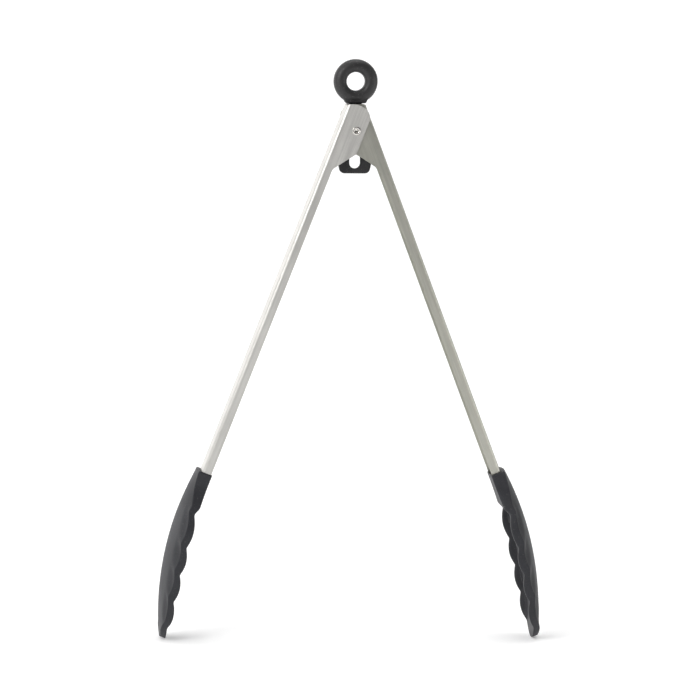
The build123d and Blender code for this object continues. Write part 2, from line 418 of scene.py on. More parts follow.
def polished(name, tone):
    # bright steel with turning or drawing marks round the pivot's axis
    material, tree, surface, place = newMaterial(name, {"Metallic": 1.0})
    centred = put(tree, "ShaderNodeMapping", {
        "Vector": place, "Location": (-hingePoint.x, 0, -hingePoint.z)}).outputs[0]
    flat = vectors(tree, "MULTIPLY", centred, (1, 0, 1))
    radius = vectors(tree, "LENGTH", flat)
    depth = put(tree, "ShaderNodeSeparateXYZ", {"Vector": centred}).outputs["Y"]
    marks = put(tree, "ShaderNodeCombineXYZ", {"X": radius, "Y": depth}).outputs[0]
    rings = put(tree, "ShaderNodeTexNoise", {"Vector": marks, "Scale": tone["marks"], "Detail": 3.0})
    cloud = effect(tree, "mottle", place, Scale=260.0, Low=0.85, High=1.08)["Factor"]
    wear = effect(tree, "wear", place, Start=0.53, End=0.66)["Mask"]
    colour = mixColours(tree, rings.outputs["Fac"], tone["dark"], tone["light"])
    colour = scaleColour(tree, colour, cloud)
    rubbed = maths(tree, "MULTIPLY", wear, wearDetail["polished"])
    colour = mixColours(tree, rubbed, colour, wearDetail["bare"])
    tree.links.new(colour, surface.inputs["Base Color"])
    rough = maths(tree, "MULTIPLY_ADD", rings.outputs["Fac"], tone["roughSpread"], tone["rough"])
    tree.links.new(rough, surface.inputs["Roughness"])
    bump(tree, surface, rings.outputs["Fac"], tone["bump"], wearDetail["relief"])
    return material


steelTone = {
    "light": (0.66, 0.65, 0.62, 1), "dark": (0.5, 0.49, 0.47, 1), "rough": 0.3, "roughSpread": 0.12,
    "across": 5200.0, "along": 55.0, "bump": 0.25, "anisotropic": 0.8, "dustColour": (0.5, 0.49, 0.47, 1),
}
# painted shade: the right arm gets a copy of the same steel, coloured darker and warmer
shadedRightSteelTone = dict(steelTone, light=(0.56, 0.555, 0.495, 1), dark=(0.42, 0.418, 0.37, 1))
siliconeTone = {
    "colour": (0.02, 0.0205, 0.0245), "worn": (0.06, 0.06, 0.065, 1), "specular": 0.38,
    "grain": 3200.0, "cloud": 120.0, "low": 0.88, "high": 1.14, "wearStart": 0.53, "wearEnd": 0.62,
    "dust": 0.16, "rough": 0.47, "roughSpread": 0.08, "bump": 0.12, "relief": 0.05,
}
plateTone = {
    "colour": (0.018, 0.018, 0.02), "worn": (0.07, 0.07, 0.07, 1), "specular": 0.45,
    "grain": 4200.0, "cloud": 160.0, "low": 0.85, "high": 1.15, "wearStart": 0.52, "wearEnd": 0.6,
    "dust": 0.22, "rough": 0.42, "roughSpread": 0.1, "bump": 0.3, "relief": 0.06,
}
ringTone = {
    "colour": (0.017, 0.0165, 0.017), "worn": (0.06, 0.06, 0.06, 1), "specular": 0.5, "sheen": 0.05,
    "grain": 2600.0, "cloud": 150.0, "low": 0.86, "high": 1.16, "wearStart": 0.54, "wearEnd": 0.64,
    "dust": 0.3, "rough": 0.4, "roughSpread": 0.08, "bump": 0.2, "relief": 0.06,
}
nylonTone = {
    "colour": (0.045, 0.045, 0.05), "worn": (0.16, 0.16, 0.16, 1), "specular": 0.45,
    "grain": 2600.0, "cloud": 100.0, "low": 0.85, "high": 1.12, "wearStart": 0.53, "wearEnd": 0.6,
    "dust": 0.1, "rough": 0.45, "roughSpread": 0.1, "bump": 0.25, "relief": 0.05,
}
whiteTone = {
    "colour": (0.76, 0.75, 0.7), "worn": (0.6, 0.58, 0.52, 1), "specular": 0.5,
    "grain": 3000.0, "cloud": 300.0, "low": 0.93, "high": 1.04, "wearStart": 0.54, "wearEnd": 0.62,
    "dust": 0.12, "rough": 0.34, "roughSpread": 0.1, "bump": 0.12, "relief": 0.04,
}
brightTone = {
    "light": (0.8, 0.78, 0.74, 1), "dark": (0.6, 0.58, 0.55, 1), "marks": 5200.0,
    "rough": 0.16, "roughSpread": 0.12, "bump": 0.15,
}
springTone = {
    "light": (0.6, 0.6, 0.59, 1), "dark": (0.4, 0.4, 0.4, 1), "marks": 3800.0,
    "rough": 0.24, "roughSpread": 0.14, "bump": 0.2,
}

# the right arm's steel carries painted shade in its colours
steels = {"left": brushedSteel("steelLeft", openAngle, steelTone),
          "right": brushedSteel("steelRight", -openAngle, shadedRightSteelTone)}
silicone = moulded("silicone", siliconeTone)
plateBlack = moulded("plateBlack", plateTone)
ringRubber = moulded("ringRubber", ringTone)
nylonBlack = moulded("nylonBlack", nylonTone)
nylonWhite = moulded("nylonWhite", whiteTone)
brightSteel = polished("brightSteel", brightTone)
springWire = polished("springWire", springTone)
print("materials made")


# arms

armDetail = {"cutEdge": 0.12, "edgeSteps": 2, "brushScale": 20}


def makeArm(side):
    thing = copyOfNode(side + "ArmSheet", side + "_arm")
    smoothBy(thing, 60)
    bevelEdges(thing, armDetail["cutEdge"], armDetail["edgeSteps"])
    bakeModifiers(thing)
    # U runs across the brushing, so that the sheen stretches that way
    local = armFrames[side].inverted()
    scale = armDetail["brushScale"]
    layer = thing.data.uv_layers.new(name="brush")
    for loop in thing.data.loops:
        place = local @ thing.data.vertices[loop.vertex_index].co
        layer.data[loop.index].uv = ((place.x + place.y) * scale, place.z * scale)
    return finish(thing, steels[side], side + "_arm", [side + "_arm"])


for side in armFrames:
    makeArm(side)
print("arms made")


# rivet, washers and sleeves on the pivot

rivetDetail = {
    "shank": 1.5, "flare": 2.1, "flareDepth": 0.6, "recess": 0.95, "recessDepth": 2.2,
    "headDepth": 1.0, "headRim": 0.22, "lip": 0.32, "lipParts": 8, "domeParts": 7, "faces": 72,
}
# bore and edge radius of each plain ring, with what it is made of
ringKinds = {
    "rivetWasher": ("rivet_washer", 1.55, 0.12, brightSteel, "bright_steel"),
    "nearEarWasher": ("near_ear_washer", 1.55, 0.1, nylonWhite, "white_nylon"),
    "farEarWasher": ("far_ear_washer", 1.55, 0.1, nylonWhite, "white_nylon"),
    "pivotBush": ("pivot_bush", 1.55, 0.25, brightSteel, "bright_steel"),
    "springWasher": ("spring_washer", 2.45, 0.1, nylonWhite, "white_nylon"),
    "springSleeve": ("spring_sleeve", 2.45, 0.25, nylonWhite, "white_nylon"),
}
spacerDetail = {"bore": 2.45, "edge": 0.2, "rim": 1.0, "waistEnd": 1.4, "waistCut": 0.5, "ease": 0.1}
onAxis = 0.0001


def depthsOf(node):
    # where a turned part starts and ends along the pivot's axis, and its radius, in mm
    low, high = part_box(node)
    return low.y / mm, high.y / mm, (high.x - low.x) / mm / 2


def makePivotRivet():
    # hollow and rolled over at the near end, domed at the far end
    d = rivetDetail
    start, end, headRadius = depthsOf("pivot_rivet")
    flare, recess, shank, lip = d["flare"], d["recess"], d["shank"], d["lip"]
    bottom = start + d["recessDepth"]
    under = start + d["flareDepth"]
    face = end - d["headDepth"]
    dome = face + d["headRim"]
    profile = [(onAxis, bottom), (recess * 0.82, bottom - 0.2), (recess, start + 1.0)]
    profile.append((recess + 0.06, start + 0.45))
    # the lip rolls over from the recess to the flare's edge
    middle = (recess + flare) / 2 + 0.03
    half = (flare - recess) / 2 - 0.03
    for part in range(d["lipParts"] + 1):
        angle = math.pi * (1 - part / d["lipParts"])
        profile.append((middle + half * math.cos(angle), start + lip - lip * math.sin(angle)))
    profile += [(flare - 0.05, under - 0.08), (shank + 0.15, under), (shank, under + 0.1), (shank, face)]
    profile += [(headRadius - 0.25, face), (headRadius - 0.05, face + 0.08), (headRadius, dome)]
    for part in range(1, d["domeParts"] + 1):
        angle = math.pi / 2 * part / d["domeParts"]
        profile.append((headRadius * math.cos(angle) + onAxis, dome + (end - dome) * math.sin(angle)))
    thing = turned("pivotRivet", profile, d["faces"])
    return finish(thing, brightSteel, "pivot", ["pivot_rivet"])


def makeRing(name, node, inner, edge, material, slot):
    start, end, outer = depthsOf(node)
    thing = turned(name, roundedRing(inner, outer, start, end, edge), rivetDetail["faces"])
    return finish(thing, material, "pivot", [node])


def makePlateSpacer():
    # a nylon sleeve with a rim at each end and a thinner waist
    start, end, outer = depthsOf("plate_spacer")
    bore, edge, rim, waistEnd, waistCut, ease = spacerDetail.values()
    waist = outer - waistCut
    # radius and distance from the nearer end, out to the middle; the second half is its mirror
    half = [(bore, edge), (bore + edge, 0.0), (outer - edge, 0.0), (outer, edge), (outer, rim)]
    half += [(waist + ease, waistEnd - 0.15), (waist, waistEnd)]
    profile = [(radius, start + inwards) for radius, inwards in half]
    profile += [(radius, end - inwards) for radius, inwards in reversed(half)]
    thing = turned("plateSpacer", profile, rivetDetail["faces"])
    return finish(thing, nylonWhite, "pivot", ["plate_spacer"])


makePivotRivet()
for ringName, kind in ringKinds.items():
    makeRing(ringName, *kind)
makePlateSpacer()
print("pivot group made")


# torsion spring, wound by nodes: half of it for each arm

springDetail = {
    "coilRadius": 4.1, "wireRadius": 0.6, "firstDepth": 2.2, "lastDepth": 5.45, "turns": 2.5,
    "legLength": 30.0, "legLean": 27.37, "legPoints": 16, "coilPoints": 80, "wireFaces": 14,
}


def springTree(material):
    tree, entry, leave = groupTree(
        "windSpring", "GeometryNodeTree",
        [("Coil Radius", floatSocket, 0.0), ("Wire Radius", floatSocket, 0.0),
         ("Half Turns", floatSocket, 0.0),
         ("Leg Length", floatSocket, 0.0), ("Leg Lean", floatSocket, 0.0), ("First Depth", floatSocket, 0.0),
         ("Middle Depth", floatSocket, 0.0), ("Side", floatSocket, 1.0),
         ("Pivot Height", floatSocket, 0.0),
         ("Leg Points", "NodeSocketInt", 16), ("Coil Points", "NodeSocketInt", 80),
         ("Wire Faces", "NodeSocketInt", 12)],
        [("Geometry", "NodeSocketGeometry")],
    )
    get = entry.outputs
    legPoints = get["Leg Points"]
    total = maths(tree, "ADD", legPoints, get["Coil Points"])
    line = put(tree, "GeometryNodeMeshLine", {"Count": total})
    path = put(tree, "GeometryNodeMeshToCurve", {"Mesh": line.outputs[0]})
    index = put(tree, "GeometryNodeInputIndex").outputs[0]
    # along the leg, from its tip to where it meets the coil
    legPart = maths(tree, "SUBTRACT", 1.0, maths(tree, "DIVIDE", index, legPoints))
    out = maths(tree, "MULTIPLY", maths(tree, "MAXIMUM", legPart, 0.0), get["Leg Length"])
    # along the coil, as an angle from its start
    last = maths(tree, "SUBTRACT", get["Coil Points"], 1.0)
    coilIndex = maths(tree, "MAXIMUM", maths(tree, "SUBTRACT", index, legPoints), 0.0)
    coilPart = maths(tree, "DIVIDE", coilIndex, last)
    fullAngle = maths(tree, "MULTIPLY", get["Half Turns"], 2 * math.pi)
    angle = maths(tree, "MULTIPLY_ADD", coilPart, maths(tree, "SUBTRACT", fullAngle, get["Leg Lean"]),
                  get["Leg Lean"])
    radius = get["Coil Radius"]
    xCoil = maths(tree, "MULTIPLY", maths(tree, "COSINE", angle), maths(tree, "MULTIPLY", radius, -1.0))
    zCoil = maths(tree, "MULTIPLY", maths(tree, "SINE", angle), radius)
    x = maths(tree, "SUBTRACT", xCoil, maths(tree, "MULTIPLY", out, maths(tree, "SINE", get["Leg Lean"])))
    z = maths(tree, "SUBTRACT", zCoil, maths(tree, "MULTIPLY", out, maths(tree, "COSINE", get["Leg Lean"])))
    half = maths(tree, "SUBTRACT", get["Middle Depth"], get["First Depth"])
    back = maths(tree, "MULTIPLY", half, maths(tree, "SUBTRACT", 1.0, coilPart))
    y = maths(tree, "SUBTRACT", get["Middle Depth"], maths(tree, "MULTIPLY", back, get["Side"]))
    place = put(tree, "ShaderNodeCombineXYZ", {
        "X": maths(tree, "MULTIPLY", x, get["Side"]), "Y": y,
        "Z": maths(tree, "ADD", z, get["Pivot Height"])})
    wound = put(tree, "GeometryNodeSetPosition", {"Geometry": path.outputs[0], "Position": place.outputs[0]})
    ring = put(tree, "GeometryNodeCurvePrimitiveCircle", {
        "Resolution": get["Wire Faces"], "Radius": get["Wire Radius"]})
    wire = put(tree, "GeometryNodeCurveToMesh", {
        "Curve": wound.outputs[0], "Profile Curve": ring.outputs[0], "Fill Caps": True})
    solid = put(tree, "GeometryNodeRealizeInstances", {"Geometry": wire.outputs[0]})
    painted = put(tree, "GeometryNodeSetMaterial", {"Geometry": solid.outputs[0], "Material": material})
    tree.links.new(painted.outputs[0], leave.inputs[0])
    return tree


def addTree(thing, name, tree, values):
    # a nodes modifier with its named inputs set
    modifier = thing.modifiers.new(name, "NODES")
    modifier.node_group = tree
    for socket in tree.interface.items_tree:
        if socket.in_out == "INPUT" and socket.name in values:
            modifier[socket.identifier] = values[socket.name]


def runTree(name, tree, values):
    # a plain mesh from a node tree
    thing = addObject(name, bpy.data.meshes.new(name))
    addTree(thing, "nodes", tree, values)
    bakeModifiers(thing)
    return thing


def makeSpring():
    tree = springTree(springWire)
    d = springDetail
    middle = (d["firstDepth"] + d["lastDepth"]) / 2
    for side, sign, depth in (("left", 1.0, d["firstDepth"]), ("right", -1.0, d["lastDepth"])):
        thing = runTree("springHalf" + side.capitalize(), tree, {
            "Coil Radius": d["coilRadius"] * mm, "Wire Radius": d["wireRadius"] * mm,
            "Half Turns": d["turns"] / 2, "Leg Length": d["legLength"] * mm,
            "Leg Lean": math.radians(d["legLean"]), "First Depth": d["firstDepth"] * mm,
            "Middle Depth": middle * mm, "Side": sign, "Pivot Height": hingePoint.z,
            "Leg Points": d["legPoints"], "Coil Points": d["coilPoints"], "Wire Faces": d["wireFaces"]})
        tidyMesh(thing.data)
        smoothBy(thing, 50)
        finish(thing, springWire, None, ["torsion_spring"])
        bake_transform(thing)


makeSpring()
print("spring wound")


# pull ring and lock plate

plateDetail = {"edge": 0.28, "edgeSteps": 3}
ringDetail = {"voxel": 0.28, "softenSteps": 6}


def makeLockPlate():
    thing = copyOfNode("lockPlate", "lock_plate", 2)
    smoothBy(thing, 60)
    bevelEdges(thing, plateDetail["edge"], plateDetail["edgeSteps"])
    bakeModifiers(thing)
    return finish(thing, plateBlack, "lock_slider", ["lock_plate"])


def makeRingGrip():
    # the moulded ring: its foot melts into the doughnut
    thing = copyOfNode("ringGrip", "ring_grip", 1)
    remesh = thing.modifiers.new("remesh", "REMESH")
    remesh.mode = "VOXEL"
    remesh.voxel_size = ringDetail["voxel"] * mm
    soften = thing.modifiers.new("soften", "CORRECTIVE_SMOOTH")
    soften.iterations = ringDetail["softenSteps"]
    soften.use_only_smooth = True
    soften.rest_source = "ORCO"
    bakeModifiers(thing)
    thing.data.shade_smooth()
    return finish(thing, ringRubber, "lock_slider", ["ring_grip"])


makeLockPlate()
makeRingGrip()
print("lock parts made")


# heads

# in the arm's own frame, in mm: down the arm, v towards the other head, y across
headDetail = {
    "sleeveTop": 186.0, "sleeveHalf": 9.2, "sleeveRim": -3.6, "lip": 0.45,
    "widenStart": 192, "widenEnd": 218, "headHalf": 18.95, "narrowStart": 230, "narrowBy": 4.5,
    "narrowRun": 41.5, "backDepth": -12.97, "backRadius": 146.0, "lowestBack": 207.0,
    "firstValley": 207.0, "lobes": (16.6, 13.6, 13.9, 13.9), "lobeHeight": 1.7,
    "rimStart": -5.3, "rimSlope": 0.11, "rimCurve": 0.0006, "rimRun": 4,
    "tipEnd": 271.45, "tipInner": 5.15, "tipHalf": 9.0, "tipGrow": 0.95, "tipCurve": 60,
    "band": 4.4, "creaseLead": 1.6, "creaseShare": 0.75, "creaseRamp": (0.7, 1.0),
    "creaseRound": 0.35, "creaseStart": (186, 200), "creaseEnd": (262, 267.5), "edge": 0.55,
    "wall": 2.4, "scoopFloor": 3.5, "scoopStart": (206.8, 209.8), "scoopEnd": (10.5, 3.2),
    "dishRise": 0.8, "dishLift": 0.6, "arcSteps": 14, "floorSteps": 7, "spacing": 1.2,
    "mouthGaps": (0.0, 0.12, 0.45, 1.1, 2.2), "mouthReach": 9.0,
    "tipShares": (0.2, 0.38, 0.54, 0.68, 0.79, 0.87, 0.925, 0.96, 0.98, 0.992),
}
socketDetail = {
    "low": -9.0, "high": -4.05, "half": 7.82,
    # distance below the sleeve's mouth and how much wider than the socket
    "rings": ((0.0, 0.55), (0.15, 0.15), (0.6, 0.0), (9, 0.0), (16.8, 0.0)),
}
armShift = -0.6
valleys = [headDetail["firstValley"] + sum(headDetail["lobes"][:number]) for number in range(5)]


def valleyLine(down):
    # the rim's inner edge as it would be with no lobes
    d = headDetail
    first, last = valleys[0], valleys[-1]
    if down <= first:
        fall = smoothStep(down, first - d["rimRun"], first)
        return d["sleeveRim"] + (d["rimStart"] - d["sleeveRim"]) * fall
    run = min(down, last) - first
    rim = d["rimStart"] + d["rimSlope"] * run + d["rimCurve"] * run * run
    if down <= last:
        return rim
    return rim + (d["tipInner"] - rim) * (down - last) / (d["tipEnd"] - last)


def backLine(down):
    # the back's arc seen from the side
    d = headDetail
    return d["backDepth"] + d["backRadius"] - math.sqrt(d["backRadius"] ** 2 - (down - d["lowestBack"]) ** 2)


def tipPlan():
    # half-widths of the rounded tip in plan, as (down, half) pairs
    d = headDetail
    half = d["headHalf"] + d["tipGrow"]
    end = d["tipEnd"]
    corners = [(half, end - 24), (half - 2, end - 6), (d["tipHalf"], end), (0, end)]
    pairs = []
    for step in range(d["tipCurve"]):
        t = step / (d["tipCurve"] - 1)
        weights = ((1 - t) ** 3, 3 * t * (1 - t) ** 2, 3 * t * t * (1 - t), t ** 3)
        wide, far = (sum(w * corner[axis] for w, corner in zip(weights, corners)) for axis in (0, 1))
        pairs.append((far, wide))
    return pairs


tipPairs = tipPlan()


def smoothStep(value, low, high):
    part = min(1.0, max(0.0, (value - low) / (high - low)))
    return part * part * (3 - 2 * part)


def headHalf(down):
    # half the width across, at a distance down the arm
    d = headDetail
    widened = smoothStep(down, d["widenStart"], d["widenEnd"])
    half = d["sleeveHalf"] + (d["headHalf"] - d["sleeveHalf"]) * widened
    if down > d["narrowStart"]:
        half -= d["narrowBy"] * ((down - d["narrowStart"]) / d["narrowRun"]) ** 2
    for (downA, halfA), (downB, halfB) in zip(tipPairs, tipPairs[1:]):
        if downA <= down <= downB:
            limit = halfA + (halfB - halfA) * (down - downA) / max(1e-9, downB - downA)
            half = min(half, limit)
    return half


# the scoop's side: share of its depth, how far in from the top, and rim share
scoopWall = ((0.18, 0.0, 0.95), (0.45, 0.15, 0.6), (0.75, 0.6, 0.25), (0.93, 1.4, 0.05), (1.0, 2.6, 0.0))


def flankRise(y, top, width):
    # how far the curved back has risen at y, out of top at the full width
    share = y / width
    return top * (0.3 * share + 0.7 * share * share - 0.1 * share * math.exp(-share * 7))


def headSection(down):
    # one closed loop round the head at a distance down the arm: (v, y, rim share) for each point
    d = headDetail
    half = headHalf(down)
    back = backLine(down)
    rim = valleyLine(down)
    thick = rim - back
    # height of the crease between the flank and the wall
    crease = max(back + 0.35 * thick * smoothStep(down, *d["creaseStart"]) + 0.3, rim + 0.9 - d["band"])
    crease = min(crease, rim - 0.4 * min(thick, 3.0))
    if down < d["firstValley"]:
        fade = (d["firstValley"] - down) / (d["firstValley"] - d["sleeveTop"])
        crease -= max(0.0, crease - back - 0.8) * fade
    crease -= (crease - back - 0.3) * smoothStep(down, *d["creaseEnd"])  # the tip is all wall
    closing = smoothStep(down, *(d["tipEnd"] - gap for gap in d["scoopEnd"]))
    opening = smoothStep(down, *d["scoopStart"]) * (1 - closing)
    wall = min(d["wall"], half * 0.45)
    floor = rim + (min(back + d["scoopFloor"], rim) - rim) * opening
    rise = crease - back
    scoopHalf = half - wall
    edge = min(d["edge"], half * 0.1)
    # from the middle of the back to the crease
    side = []
    steps = d["arcSteps"]
    for step in range(steps + 1):
        y = half * step / steps
        weight = d["creaseShare"] * smoothStep(step / steps, *d["creaseRamp"])
        side.append((back + flankRise(y, rise, half), y, weight))
    side[-1] = (crease, half, d["creaseShare"])
    inwards = d["creaseRound"]
    side.insert(-1, (
        back + flankRise(half - inwards, rise, half), half - inwards * min(1, half / 6), d["creaseShare"]))
    # up the wall, over the rim and down into the scoop
    tall = rim - crease
    for share in (0.07, 0.3, 0.55, 0.8):
        weight = d["creaseShare"] + (1 - d["creaseShare"]) * share
        side.append((crease + tall * share * (1 - edge / max(tall, 0.6)), half, weight))
    side += [(rim - edge, half, 1.0), (rim - edge * 0.3, half - edge * 0.3, 1.0), (rim, half - edge, 1.0)]
    side += [(rim, half - wall * 0.5, 1.0), (rim, half - wall + edge, 1.0)]
    side += [(rim - edge * 0.3 * opening, half - wall + edge * 0.3, 1.0)]
    deep = rim - floor
    closed = 1.0 - opening
    for share, inwards, weight in scoopWall:
        y = max(scoopHalf - inwards * min(1.0, scoopHalf / 6), 0.0)
        lift = flankRise(y, rise * d["dishRise"], half) * opening if share == 1.0 else 0.0
        side.append((rim - deep * share + lift * d["dishLift"], y, max(weight, closed)))
    # across the scoop's floor
    last = side[-1]
    for step in range(1, d["floorSteps"] + 1):
        y = last[1] * (1 - step / d["floorSteps"])
        level = floor + flankRise(y, rise * d["dishRise"], half) * opening * d["dishLift"]
        side.append((level, y, closed))
    mirrored = [(v, -y, w) for v, y, w in reversed(side[1:-1])]
    return side + mirrored


def headStations():
    # distances down the arm, with one on every valley and closer ones at the ends
    d = headDetail
    stations = [d["sleeveTop"] + gap for gap in d["mouthGaps"]]
    marks = [stations[-1]] + valleys
    for start, end in zip(marks, marks[1:]):
        count = max(2, round((end - start) / d["spacing"]))
        stations += [start + (end - start) * (step + 1) / count for step in range(count)]
    last = stations[-1]
    stations += [last + (d["tipEnd"] - last) * share for share in d["tipShares"]]
    return stations


def headMesh(name):
    # the silicone cover: an outer skin, dished into the scoop, and the socket inside its sleeve
    d = headDetail
    points = []
    weights = []
    faces = []
    count = 0
    stations = headStations()
    for row, down in enumerate(stations):
        loop = headSection(down)
        count = len(loop)
        # the sleeve's mouth has a rounded lip
        run = min(1.0, (down - d["sleeveTop"]) / d["lip"])
        inset = d["lip"] * (1 - math.sin(math.acos(1 - run)))
        centre = sum(v for v, y, w in loop) / count
        shrink = 1 - inset / d["mouthReach"]
        for v, y, w in loop:
            points.append((centre + (v - centre) * shrink, y * shrink, -down))
            weights.append(w)
        if row:
            base = (row - 1) * count
            for corner in range(count):
                after = (corner + 1) % count
                faces.append((base + corner, base + after, base + count + after, base + count + corner))
    tipStart = (len(stations) - 1) * count
    faces.append([tipStart + corner for corner in range(count)])
    # socket for the arm: the mouth's ring, then straight down inside
    low, high, halfWide = socketDetail["low"], socketDetail["high"], socketDetail["half"]
    mouth = headSection(d["sleeveTop"])
    previous = 0
    for below, grow in socketDetail["rings"]:
        down = d["sleeveTop"] + below
        start = len(points)
        for v, y, w in mouth:
            inV = min(max(v, low - grow * 0.6), high + grow * 0.25)
            inY = min(max(y, -halfWide - grow), halfWide + grow)
            if low < inV < high and abs(inY) < halfWide:
                # points of the flat lid spread along the socket's inner edge
                inV = high if v > (low + high) / 2 else low
            points.append((inV, inY + armShift, -down))
            weights.append(0.0)
        for corner in range(count):
            after = (corner + 1) % count
            faces.append((previous + corner, start + corner, start + after, previous + after))
        previous = start
    faces.append([previous + corner for corner in reversed(range(count))])
    mesh = bpy.data.meshes.new(name)
    mesh.from_pydata([Vector(point) * mm for point in points], [], faces)
    attribute = mesh.attributes.new("rimShare", "FLOAT", "POINT")
    attribute.data.foreach_set("value", weights)
    return mesh


def scallopTree():
    # raises lobes along a rim: each point moves by its own rim share
    tree, entry, leave = groupTree(
        "scallopRim", "GeometryNodeTree",
        [("Geometry", "NodeSocketGeometry", None)]
        + [("Valley " + str(number), floatSocket, 0.0) for number in range(1, 6)]
        + [("Height", floatSocket, 0.0), ("Crease Lead", floatSocket, 0.0),
           ("Material", "NodeSocketMaterial", None)],
        [("Geometry", "NodeSocketGeometry")],
    )
    get = entry.outputs
    share = put(tree, "GeometryNodeInputNamedAttribute", {"Name": "rimShare"}, data_type="FLOAT").outputs[0]
    place = put(tree, "ShaderNodeSeparateXYZ", {"Vector": put(tree, "GeometryNodeInputPosition").outputs[0]})
    down = maths(tree, "MULTIPLY", place.outputs["Z"], -1.0)
    lead = maths(tree, "MULTIPLY", get["Crease Lead"], maths(tree, "SUBTRACT", 1.0, share))
    run = maths(tree, "ADD", down, lead)
    # an arch between each valley and the next, and nothing outside them
    bulge = 0.0
    for number in range(1, 5):
        first = get["Valley " + str(number)]
        second = get["Valley " + str(number + 1)]
        length = maths(tree, "SUBTRACT", second, first)
        part = maths(tree, "DIVIDE", maths(tree, "SUBTRACT", run, first), length)
        hump = maths(tree, "MULTIPLY", part, maths(tree, "SUBTRACT", 1.0, part))
        arch = maths(tree, "MULTIPLY", hump, 4.0)
        bulge = maths(tree, "ADD", bulge, maths(tree, "MAXIMUM", arch, 0.0))
    lift = maths(tree, "MULTIPLY", maths(tree, "MULTIPLY", bulge, get["Height"]), share)
    offset = put(tree, "ShaderNodeCombineXYZ", {"X": lift}).outputs[0]
    moved = put(tree, "GeometryNodeSetPosition", {"Geometry": get["Geometry"], "Offset": offset})
    solid = put(tree, "GeometryNodeRealizeInstances", {"Geometry": moved.outputs[0]})
    painted = put(tree, "GeometryNodeSetMaterial", {
        "Geometry": solid.outputs[0], "Material": get["Material"]})
    tree.links.new(painted.outputs[0], leave.inputs[0])
    return tree


rimTree = scallopTree()


def makeHead(side):
    d = headDetail
    name = side + "HeadCover"
    thing = addObject(name, headMesh(name))
    values = {
        "Height": d["lobeHeight"] * mm, "Crease Lead": d["creaseLead"] * mm / (1 - d["creaseShare"]),
        "Material": silicone}
    for number in range(5):
        values["Valley " + str(number + 1)] = valleys[number] * mm
    addTree(thing, "scallop", rimTree, values)
    finer = thing.modifiers.new("finer", "SUBSURF")
    finer.levels = 1
    finer.render_levels = 1
    bakeModifiers(thing)
    thing.data.transform(armFrames[side])
    tidyMesh(thing.data, 2e-6)
    smoothBy(thing, 45)
    return finish(thing, silicone, side + "_arm", [side + "_head_cover"])


def rivetTree():
    # copies of one rivet at even gaps down the arm
    tree, entry, leave = groupTree(
        "rivetRow", "GeometryNodeTree",
        [("Rivet", "NodeSocketObject", None), ("Count", "NodeSocketInt", 2),
         ("Start", vectorSocket, None), ("Step", vectorSocket, None), ("Turn", vectorSocket, None),
         ("Material", "NodeSocketMaterial", None)],
        [("Geometry", "NodeSocketGeometry")],
    )
    get = entry.outputs
    row = put(tree, "GeometryNodeMeshLine", {
        "Count": get["Count"], "Start Location": get["Start"], "Offset": get["Step"]})
    shape = put(tree, "GeometryNodeObjectInfo", {"Object": get["Rivet"]})
    copies = put(tree, "GeometryNodeInstanceOnPoints", {
        "Points": row.outputs[0], "Instance": shape.outputs["Geometry"], "Rotation": get["Turn"]})
    solid = put(tree, "GeometryNodeRealizeInstances", {"Geometry": copies.outputs[0]})
    painted = put(tree, "GeometryNodeSetMaterial", {
        "Geometry": solid.outputs[0], "Material": get["Material"]})
    tree.links.new(painted.outputs[0], leave.inputs[0])
    return tree


coreRivetDetail = {
    "shank": 1.48, "head": 2.38, "headTall": 0.7, "outer": -9.6, "inner": -4.6,
    "first": 192.0, "gap": 7.0, "count": 2, "faces": 40, "domeParts": 6,
}


def coreRivet():
    # one rivet along X, domed at its outer end and flat at its inner end
    d = coreRivetDetail
    head, shank, tall, outer, inner = d["head"], d["shank"], d["headTall"], d["outer"], d["inner"]
    profile = [(onAxis, outer)]
    for part in range(1, d["domeParts"] + 1):
        angle = math.pi / 2 * part / d["domeParts"]
        profile.append((head * math.sin(angle), outer + tall * 0.7 * (1 - math.cos(angle))))
    profile += [(head, outer + tall), (shank, outer + tall), (shank, inner - tall)]
    profile += [(head - 0.1, inner - tall), (head, inner - tall + 0.12), (head, inner - 0.2)]
    profile += [(head - 0.2, inner), (onAxis, inner)]
    points = []
    faces = []
    count = len(profile)
    for step in range(d["faces"]):
        angle = 2 * math.pi * step / d["faces"]
        points += [Vector((x, r * math.cos(angle), r * math.sin(angle))) * mm for r, x in profile]
        here = step * count
        there = (step + 1) % d["faces"] * count
        for corner in range(count - 1):
            faces.append((here + corner, here + corner + 1, there + corner + 1, there + corner))
    return addObject("rivetShape", meshFrom("rivetShape", points, faces))


def makeCoreRivets():
    tree = rivetTree()
    shape = coreRivet()
    d = coreRivetDetail
    for side, matrix in armFrames.items():
        start = matrix @ (Vector((0, armShift, -d["first"])) * mm)
        step = matrix.to_3x3() @ (Vector((0, 0, -d["gap"])) * mm)
        thing = runTree(side + "CoreRivets", tree, {
            "Rivet": shape, "Count": d["count"], "Start": start, "Step": step,
            "Turn": matrix.to_euler(), "Material": brightSteel})
        smoothBy(thing, 35)
        finish(thing, brightSteel, side + "_arm", [side + "_core_rivets"])
    bpy.data.objects.remove(shape)


for side in armFrames:
    makeHead(side)
    core = frame["nodes"][side + "_head_core"]
    core.data.materials.clear()
    core.data.materials.append(nylonBlack)
makeCoreRivets()
print("heads made")


# floor, light and camera

stageDetail = {
    "floorReach": 3.0, "backGap": 0.9, "height": 2.4, "bend": 0.5, "bendSteps": 12,
    "glow": 0.22, "colour": (0.93, 0.93, 0.93),
}


